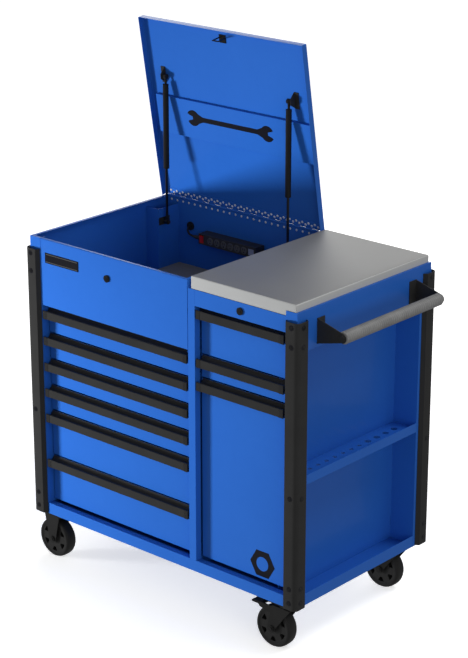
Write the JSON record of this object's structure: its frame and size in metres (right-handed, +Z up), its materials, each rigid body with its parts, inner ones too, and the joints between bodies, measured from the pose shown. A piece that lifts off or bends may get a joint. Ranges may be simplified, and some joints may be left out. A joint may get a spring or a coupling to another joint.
{
  "type": "rolling tool chest",
  "caption": "Rolling tool chest on casters: drawers, a lidded box on gas struts, a steel worktop, a side shelf recess and a push handle.",
  "frame": {"origin": "on the floor, under the middle of the chest's outer box with its lid open, the power lead left out", "axes": "+Z up, drawers open towards -Y, push handle on the +X side"},
  "size_m": [1.1595, 0.7675, 1.64],
  "materials": {
    "blue_paint": "glossy enamel",
    "black_trim": "satin",
    "worktop_steel": "brushed",
    "zinc": "zinc plated",
    "caster_black": "satin",
    "mat_rubber": "matte",
    "grip_rubber": "ribbed",
    "strut_black": "satin",
    "strut_rod": "polished",
    "lock_black": "satin",
    "strip_plastic": "textured",
    "rocker_red": "glossy",
    "cord_black": "satin",
    "plug_black": "satin",
    "wheel_black": "satin",
    "pedal_black": "satin",
    "pull_black": "satin"
  },
  "bodies": {
    "cabinet": {"left_side": "blue_paint", "right_side": "blue_paint", "back_panel": "blue_paint", "base_pan": "blue_paint", "divider": "blue_paint", "right_header": "blue_paint", "box_front": "blue_paint", "box_floor": "blue_paint", "box_mat": "mat_rubber", "steel_top": "worktop_steel", "corner_posts": "black_trim", "side_shelf": "blue_paint", "handle_brackets": "black_trim", "handle_bar": "grip_rubber", "hinge_fixed_leaf": "blue_paint", "box_strut_studs": "black_trim", "power_strip": "strip_plastic", "cord_grommet": "cord_black", "power_cord": "cord_black", "cord_coil": "cord_black", "cord_plug": "plug_black", "caster_plates": "caster_black"},
    "lid": {"lid_panel": "blue_paint", "lid_stiffener": "blue_paint", "lid_striker": "zinc", "lid_strut_brackets": "black_trim", "hinge_lid_leaf": "blue_paint"},
    "box_lock": {"lock_box": "lock_black"},
    "drawer_lock": {"lock_drawers": "lock_black"},
    "strip_switch": {"strip_rocker": "rocker_red"},
    "strut_rod_left_body": {"strut_rod_left": "strut_rod"},
    "strut_cylinder_left_body": {"strut_cylinder_left": "strut_black"},
    "strut_rod_right_body": {"strut_rod_right": "strut_rod"},
    "strut_cylinder_right_body": {"strut_cylinder_right": "strut_black"},
    "left_drawer_1_body": {"left_drawer_1": "blue_paint", "left_pull_1": "pull_black"},
    "left_drawer_2_body": {"left_drawer_2": "blue_paint", "left_pull_2": "pull_black"},
    "left_drawer_3_body": {"left_drawer_3": "blue_paint", "left_pull_3": "pull_black"},
    "left_drawer_4_body": {"left_drawer_4": "blue_paint", "left_pull_4": "pull_black"},
    "left_drawer_5_body": {"left_drawer_5": "blue_paint", "left_pull_5": "pull_black"},
    "left_drawer_6_body": {"left_drawer_6": "blue_paint", "left_pull_6": "pull_black"},
    "right_drawer_1_body": {"right_drawer_1": "blue_paint", "right_pull_1": "pull_black"},
    "right_drawer_2_body": {"right_drawer_2": "blue_paint", "right_pull_2": "pull_black"},
    "right_drawer_3_body": {"right_drawer_3": "blue_paint", "right_pull_3": "pull_black"},
    "wheel_left_front_body": {"wheel_left_front": "wheel_black"},
    "swivel_front": {"swivel_fork_front": "caster_black"},
    "wheel_right_front_body": {"wheel_right_front": "wheel_black"},
    "pedal_front": {"brake_pedal_front": "pedal_black"},
    "wheel_left_rear_body": {"wheel_left_rear": "wheel_black"},
    "swivel_rear": {"swivel_fork_rear": "caster_black"},
    "wheel_right_rear_body": {"wheel_right_rear": "wheel_black"},
    "pedal_rear": {"brake_pedal_rear": "pedal_black"}
  },
  "joints": [
    {"name": "lid_hinge", "type": "hinge", "parent": "cabinet", "child": "lid", "pos_m": [-0.2435, 0.289, 1.052], "axis": [1, 0, 0], "range_deg": [0, 80.5]},
    {"name": "strut_foot_left", "type": "hinge", "parent": "cabinet", "child": "strut_rod_left_body", "pos_m": [-0.49125, 0.2164, 0.989], "axis": [1, 0, 0], "range_deg": [0, 81]},
    {"name": "strut_stroke_left", "type": "slide", "parent": "strut_rod_left_body", "child": "strut_cylinder_left_body", "axis": [0, 0, 1], "range_m": [-0.126, 0]},
    {"name": "strut_foot_right", "type": "hinge", "parent": "cabinet", "child": "strut_rod_right_body", "pos_m": [0.00425, 0.2164, 0.989], "axis": [1, 0, 0], "range_deg": [0, 81]},
    {"name": "strut_stroke_right", "type": "slide", "parent": "strut_rod_right_body", "child": "strut_cylinder_right_body", "axis": [0, 0, 1], "range_m": [-0.126, 0]},
    {"name": "left_drawer_1_slide", "type": "slide", "parent": "cabinet", "child": "left_drawer_1_body", "axis": [0, -1, 0], "range_m": [0, 0.45]},
    {"name": "left_drawer_2_slide", "type": "slide", "parent": "cabinet", "child": "left_drawer_2_body", "axis": [0, -1, 0], "range_m": [0, 0.45]},
    {"name": "left_drawer_3_slide", "type": "slide", "parent": "cabinet", "child": "left_drawer_3_body", "axis": [0, -1, 0], "range_m": [0, 0.45]},
    {"name": "left_drawer_4_slide", "type": "slide", "parent": "cabinet", "child": "left_drawer_4_body", "axis": [0, -1, 0], "range_m": [0, 0.45]},
    {"name": "left_drawer_5_slide", "type": "slide", "parent": "cabinet", "child": "left_drawer_5_body", "axis": [0, -1, 0], "range_m": [0, 0.45]},
    {"name": "left_drawer_6_slide", "type": "slide", "parent": "cabinet", "child": "left_drawer_6_body", "axis": [0, -1, 0], "range_m": [0, 0.45]},
    {"name": "right_drawer_1_slide", "type": "slide", "parent": "cabinet", "child": "right_drawer_1_body", "axis": [0, -1, 0], "range_m": [0, 0.45]},
    {"name": "right_drawer_2_slide", "type": "slide", "parent": "cabinet", "child": "right_drawer_2_body", "axis": [0, -1, 0], "range_m": [0, 0.45]},
    {"name": "right_drawer_3_slide", "type": "slide", "parent": "cabinet", "child": "right_drawer_3_body", "axis": [0, -1, 0], "range_m": [0, 0.45]},
    {"name": "wheel_left_front_roll", "type": "hinge", "parent": "cabinet", "child": "wheel_left_front_body", "pos_m": [-0.51625, -0.273, 0.0635], "axis": [0, 1, 0], "continuous": true},
    {"name": "swivel_front_turn", "type": "hinge", "parent": "cabinet", "child": "swivel_front", "pos_m": [0.42475, -0.273, 0.138], "axis": [0, 0, 1], "continuous": true},
    {"name": "wheel_right_front_roll", "type": "hinge", "parent": "swivel_front", "child": "wheel_right_front_body", "pos_m": [0.38515, -0.273, 0.0635], "axis": [0, 1, 0], "continuous": true},
    {"name": "brake_front_press", "type": "hinge", "parent": "swivel_front", "child": "pedal_front", "pos_m": [0.34175, -0.273, 0.126], "axis": [0, -1, 0], "range_deg": [0, 15]},
    {"name": "wheel_left_rear_roll", "type": "hinge", "parent": "cabinet", "child": "wheel_left_rear_body", "pos_m": [-0.51625, 0.235, 0.0635], "axis": [0, 1, 0], "continuous": true},
    {"name": "swivel_rear_turn", "type": "hinge", "parent": "cabinet", "child": "swivel_rear", "pos_m": [0.42475, 0.235, 0.138], "axis": [0, 0, 1], "continuous": true},
    {"name": "wheel_right_rear_roll", "type": "hinge", "parent": "swivel_rear", "child": "wheel_right_rear_body", "pos_m": [0.38515, 0.235, 0.0635], "axis": [0, 1, 0], "continuous": true},
    {"name": "brake_rear_press", "type": "hinge", "parent": "swivel_rear", "child": "pedal_rear", "pos_m": [0.34175, 0.235, 0.126], "axis": [0, -1, 0], "range_deg": [0, 15]},
    {"name": "box_lock_turn", "type": "hinge", "parent": "cabinet", "child": "box_lock", "pos_m": [-0.24525, -0.303, 0.982], "axis": [0, 1, 0], "range_deg": [0, 90]},
    {"name": "drawer_lock_turn", "type": "hinge", "parent": "cabinet", "child": "drawer_lock", "pos_m": [0.26975, -0.303, 1], "axis": [0, 1, 0], "range_deg": [0, 90]},
    {"name": "strip_switch_rock", "type": "hinge", "parent": "cabinet", "child": "strip_switch", "pos_m": [-0.37525, 0.253, 0.947], "axis": [1, 0, 0], "range_deg": [-14, 0]}
  ],
  "couplings": [
    {"joint": "strut_foot_left", "follows": "lid_hinge", "ratio": 0.99684},
    {"joint": "strut_stroke_left", "follows": "lid_hinge", "m_per_rad": -0.088402},
    {"joint": "strut_foot_right", "follows": "lid_hinge", "ratio": 0.99684},
    {"joint": "strut_stroke_right", "follows": "lid_hinge", "m_per_rad": -0.088402}
  ]
}
